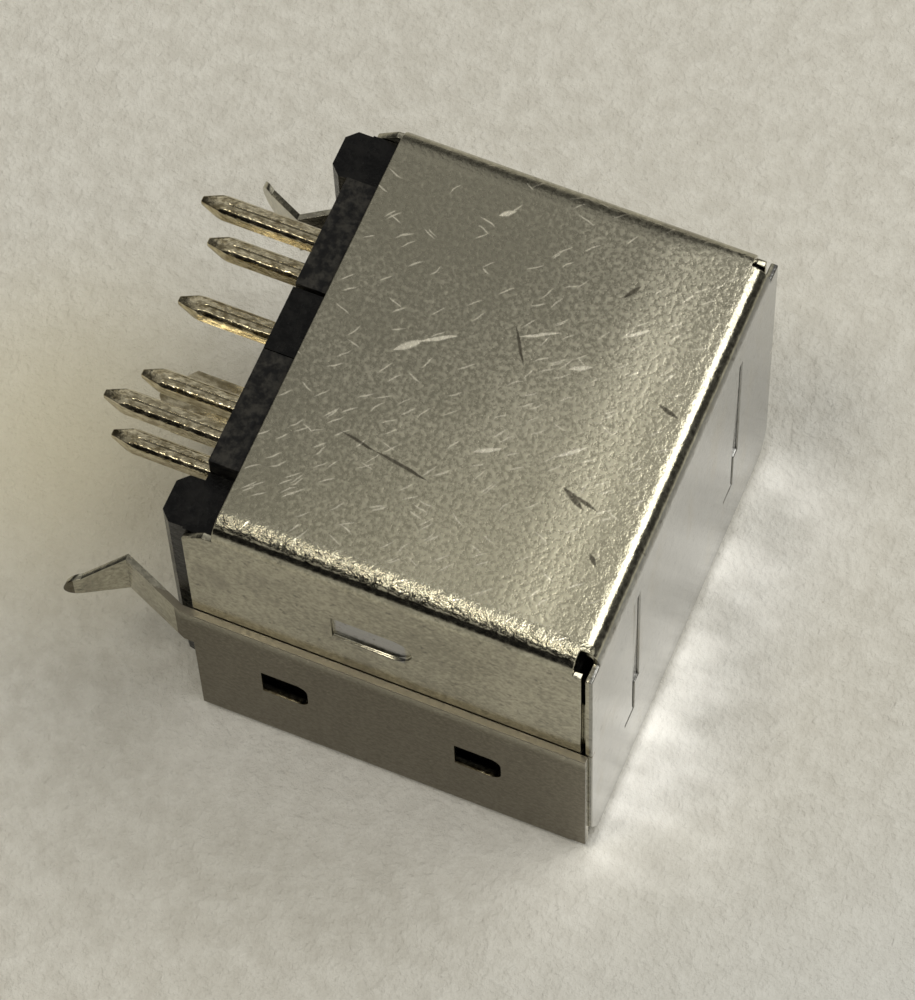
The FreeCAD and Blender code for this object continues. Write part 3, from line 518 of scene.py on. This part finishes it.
def paperSheet():
    look = paperLook
    middle = Vector((0, facePlane - look["below"], (wallLow.z + topPlane) / 2))
    inner = ((wallLow.x + look["inset"], 1.2), (wallHigh.x - look["inset"], topPlane - 1.2))
    mesh = bpy.data.meshes.new("paper")
    work = bmesh.new()
    far = look["halfSize"]
    outerRing = [work.verts.new(Vector((x, middle.y, middle.z + z)) * millimetre)
                 for x, z in ((-far, -far), (far, -far), (far, far), (-far, far))]
    (lowX, lowZ), (highX, highZ) = inner
    innerRing = [work.verts.new(Vector((x, middle.y, z)) * millimetre)
                 for x, z in ((lowX, lowZ), (highX, lowZ), (highX, highZ), (lowX, highZ))]
    for index in range(4):
        after = (index + 1) % 4
        face = work.faces.new((outerRing[index], innerRing[index], innerRing[after], outerRing[after]))
        face.normal_update()
        if face.normal.y < 0:
            face.normal_flip()
    work.to_mesh(mesh)
    work.free()
    sheet = bpy.data.objects.new("paper", mesh)
    scene.collection.objects.link(sheet)
    material, tree, shader, place = startMaterial("palePaper")
    material.cycles.emission_sampling = "NONE"
    pulp = noise(tree, place, look["pulpPerMm"], 5.0, 0.62)
    fibre = noise(tree, place, look["fibrePerMm"], 3.0, 0.6)
    x, y, z = parts(tree, place)
    speck = ramp(tree, noise(tree, place, 2.6, 1.0, 0.4), 0.845, 0.87)
    colour = mixColour(tree, ramp(tree, pulp, 0.3, 0.72), look["dark"], look["light"])
    colour = mixColour(tree, ramp(tree, fibre, 0.25, 0.6, 0.25, 0.0), colour, look["dark"])
    # Painted warm reflection: the paper turns warmer round one spot beside the socket
    away = vectorMaths(tree, "DISTANCE", joined(tree, x, z), (*look["warmReflectionPlace"], 0))
    colour = mixColour(tree, ramp(tree, away, 0.0, look["warmReflectionReach"], 0.9, 0.0), colour, look["warmReflection"])
    # Painted cooler light: the paper turns cooler towards one corner
    corner = ramp(tree, maths(tree, "SUBTRACT", z, x), 18.0, 36.0, 0.0, 0.7)
    colour = mixColour(tree, corner, colour, look["coolLight"])
    colour = mixColour(tree, speck, colour, look["speck"])
    feed(tree, colour, shader.inputs["Base Color"])
    feed(tree, thrownLight(tree, x, z), shader.inputs["Emission Strength"])
    shader.inputs["Emission Color"].default_value = look["glowTint"]
    shader.inputs["Roughness"].default_value = 0.9
    shader.inputs["Specular IOR Level"].default_value = 0.2
    feed(tree, bump(tree, maths(tree, "ADD", pulp, maths(tree, "MULTIPLY", fibre, 1.1)), look["depth"]),
         shader.inputs["Normal"])
    clear = tree.nodes.new("ShaderNodeBsdfTransparent").outputs[0]
    behind = tree.nodes.new("ShaderNodeNewGeometry").outputs["Backfacing"]
    oneSided = tree.nodes.new("ShaderNodeMixShader")
    tree.links.new(behind, oneSided.inputs[0])
    tree.links.new(shader.outputs[0], oneSided.inputs[1])
    tree.links.new(clear, oneSided.inputs[2])
    tree.links.new(oneSided.outputs[0], tree.nodes["Material Output"].inputs["Surface"])
    mesh.materials.append(material)
    sheet.visible_shadow = False


paperSheet()

# A soft tent round everything: pale below the socket, a dark band at its horizon, a dim ceiling
tentLook = {
    "radius": 420.0, "below": 0.42, "horizon": 0.05, "ceiling": 0.3, "darkSide": 0.04,
    "tintBelow": (1.0, 0.96, 0.86, 1), "tintAbove": (1.0, 0.98, 0.93, 1),
    # Paler patches, each a direction, how wide and how bright
    "patches": (((-0.64, 0.62, 0.45), 0.86, 0.5), ((0.67, 0.58, -0.46), 0.91, 0.4)),
}


def studioTent():
    look = tentLook
    mesh = bpy.data.meshes.new("tent")
    work = bmesh.new()
    bmesh.ops.create_icosphere(work, subdivisions=3, radius=look["radius"] * millimetre)
    work.to_mesh(mesh)
    work.free()
    tent = bpy.data.objects.new("tent", mesh)
    scene.collection.objects.link(tent)
    material = bpy.data.materials.new("tentGlow")
    material.cycles.emission_sampling = "NONE"
    material.use_nodes = True
    tree = material.node_tree
    tree.nodes.clear()
    place = tree.nodes.new("ShaderNodeTexCoord").outputs["Object"]
    direction = vectorMaths(tree, "NORMALIZE", place)
    side, height, upward = parts(tree, direction)
    strength = ramp(tree, height, -0.05, 0.1, look["below"], look["horizon"])
    strength = total(tree, strength, ramp(tree, height, 0.42, 0.72, 0.0, look["ceiling"] - look["horizon"]))
    # A darker wall on the left, which the near bend shows as a black line
    shade = maths(tree, "MULTIPLY", ramp(tree, side, -0.42, -0.62), ramp(tree, height, -0.02, 0.08))
    shade = maths(tree, "MULTIPLY", shade, ramp(tree, upward, 0.1, -0.02))
    strength = product(tree, strength, ramp(tree, shade, 0.0, 1.0, 1.0, look["darkSide"] / look["ceiling"]))
    for towards, edge, gain in look["patches"]:
        near = vectorMaths(tree, "DOT_PRODUCT", direction, tuple(Vector(towards).normalized()))
        strength = maths(tree, "ADD", strength, ramp(tree, near, edge, 0.98, 0.0, gain))
    colour = mixColour(tree, ramp(tree, height, -0.1, 0.3), look["tintBelow"], look["tintAbove"])
    glow = tree.nodes.new("ShaderNodeEmission")
    feed(tree, colour, glow.inputs["Color"])
    feed(tree, strength, glow.inputs["Strength"])
    output = tree.nodes.new("ShaderNodeOutputMaterial")
    tree.links.new(glow.outputs[0], output.inputs["Surface"])
    mesh.materials.append(material)
    tent.visible_camera = False
    tent.visible_shadow = False


studioTent()


# Plain pale background where no paper shows
def paleBackground():
    world = bpy.data.worlds.new("paleRoom")
    scene.world = world
    world.use_nodes = True
    tree = world.node_tree
    rays = tree.nodes.new("ShaderNodeLightPath")
    seen = maths(tree, "MAXIMUM", rays.outputs["Is Camera Ray"],
                 maths(tree, "MAXIMUM", rays.outputs["Is Glossy Ray"], rays.outputs["Is Transmission Ray"]))
    background = tree.nodes["Background"]
    background.inputs["Color"].default_value = (0.8, 0.79, 0.75, 1)
    feed(tree, ramp(tree, seen, 0.0, 1.0, 0.3, 1.0, smooth=False), background.inputs["Strength"])


paleBackground()

lamps = {
    "keyPanel": {"direction": (0.36, 0.84, 0.44), "distance": 300.0, "size": 215.0, "radiance": 3.0,
                 "colour": (1.0, 0.985, 0.95)},
    "smallPanel": {"direction": (-0.26, 0.95, -0.2), "distance": 300.0, "size": 70.0, "radiance": 12.0,
                   "colour": (1.0, 0.94, 0.82)},
    "frontPanel": {"direction": (0.45, -0.8, 0.5), "distance": 300.0, "size": 120.0, "radiance": 3.0,
                   "colour": (1.0, 0.98, 0.95)},
}
middle = Vector((0, -1.8, 5.5)) * millimetre
for name, look in lamps.items():
    data = bpy.data.lights.new(name, "AREA")
    data.size = look["size"] * millimetre
    data.energy = look["radiance"] * math.pi * data.size ** 2
    data.color = look["colour"]
    lamp = bpy.data.objects.new(name, data)
    scene.collection.objects.link(lamp)
    direction = Vector(look["direction"]).normalized()
    lamp.location = middle + direction * look["distance"] * millimetre
    lamp.rotation_mode = "QUATERNION"
    lamp.rotation_quaternion = direction.to_track_quat("Z", "Y")

print("stage and lamps ready")

# The photo's camera: where it stands and looks (millimetres), how far its picture is turned, its long lens
photoCamera = {"place": (-58.1, 128.51, 33.79), "aim": (1.16, -6.35, 5.49), "turn": 110.164,
               "focalPixels": 4989.0, "pictureHeight": 1000, "sensor": 36.0}
camera = bpy.data.objects.new("photoCamera", bpy.data.cameras.new("photoCamera"))
scene.collection.objects.link(camera)
camera.data.sensor_width = photoCamera["sensor"]
camera.data.lens = photoCamera["focalPixels"] * photoCamera["sensor"] / photoCamera["pictureHeight"]
camera.data.clip_start, camera.data.clip_end = 0.01, 2.0
camera.location = Vector(photoCamera["place"]) * millimetre
sight = Vector(photoCamera["aim"]) - Vector(photoCamera["place"])
camera.rotation_mode = "QUATERNION"
level = sight.to_track_quat("-Z", "Y")
turned = Matrix.Rotation(math.radians(photoCamera["turn"]), 3, "Z").to_quaternion()
camera.rotation_quaternion = level @ turned
scene.camera = camera
print("camera ready")
